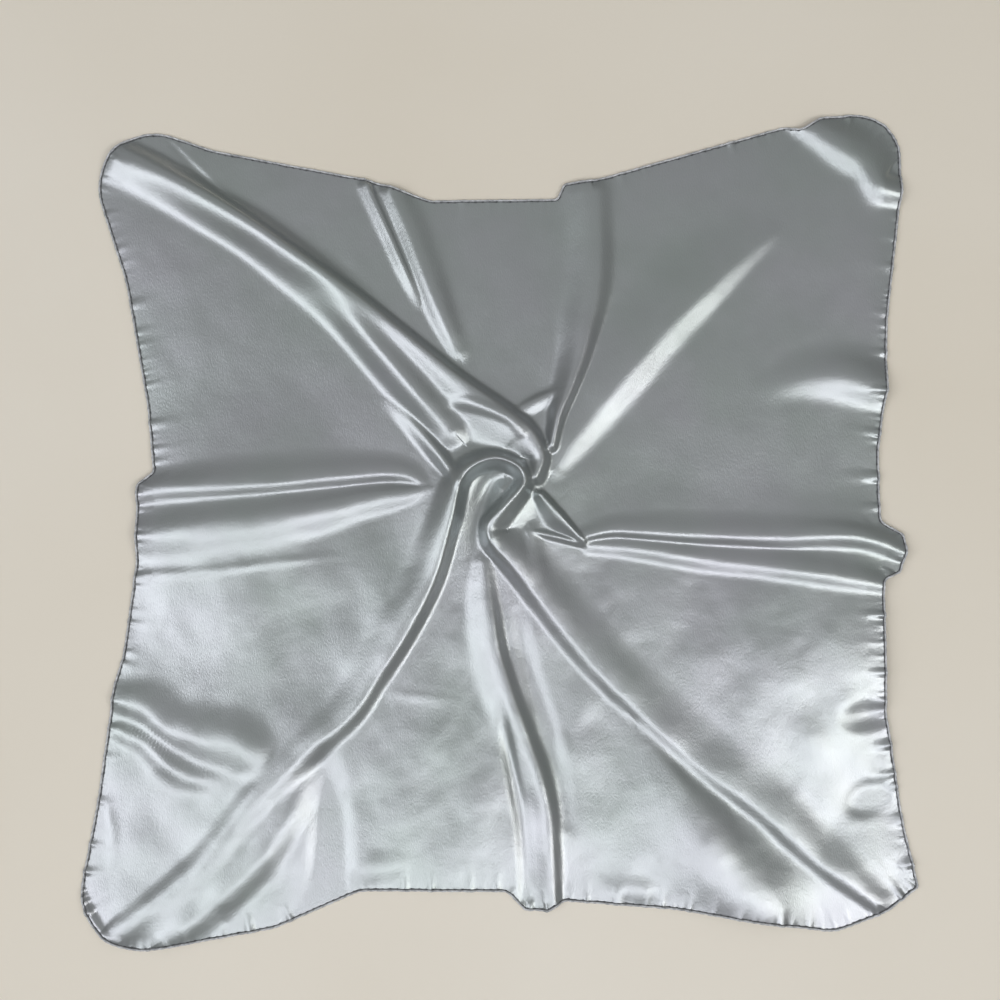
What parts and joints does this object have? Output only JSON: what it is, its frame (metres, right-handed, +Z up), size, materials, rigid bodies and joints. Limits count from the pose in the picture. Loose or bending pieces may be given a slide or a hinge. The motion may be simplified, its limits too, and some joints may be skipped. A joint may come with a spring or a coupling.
{
  "type": "headscarf",
  "caption": "Square satin headscarf with rounded corners and an overlocked edge, laid on a surface and pinched and twisted at its middle.",
  "frame": {"origin": "middle of the scarf's outline, on the surface it lies on", "axes": "+Z up from the surface, +X to the right and +Y away from the viewer, along the two sides of the square"},
  "size_m": [0.581, 0.592, 0.0204],
  "materials": {
    "satin": "silver grey polyester satin, smooth with a strong soft sheen",
    "edge_thread": "dark grey overlock thread over a rolled satin edge, matte"
  },
  "bodies": {
    "root": {"satin_panel": "satin", "edge_north": "edge_thread", "edge_west": "edge_thread", "edge_south": "edge_thread", "edge_east": "edge_thread"}
  },
  "joints": []
}
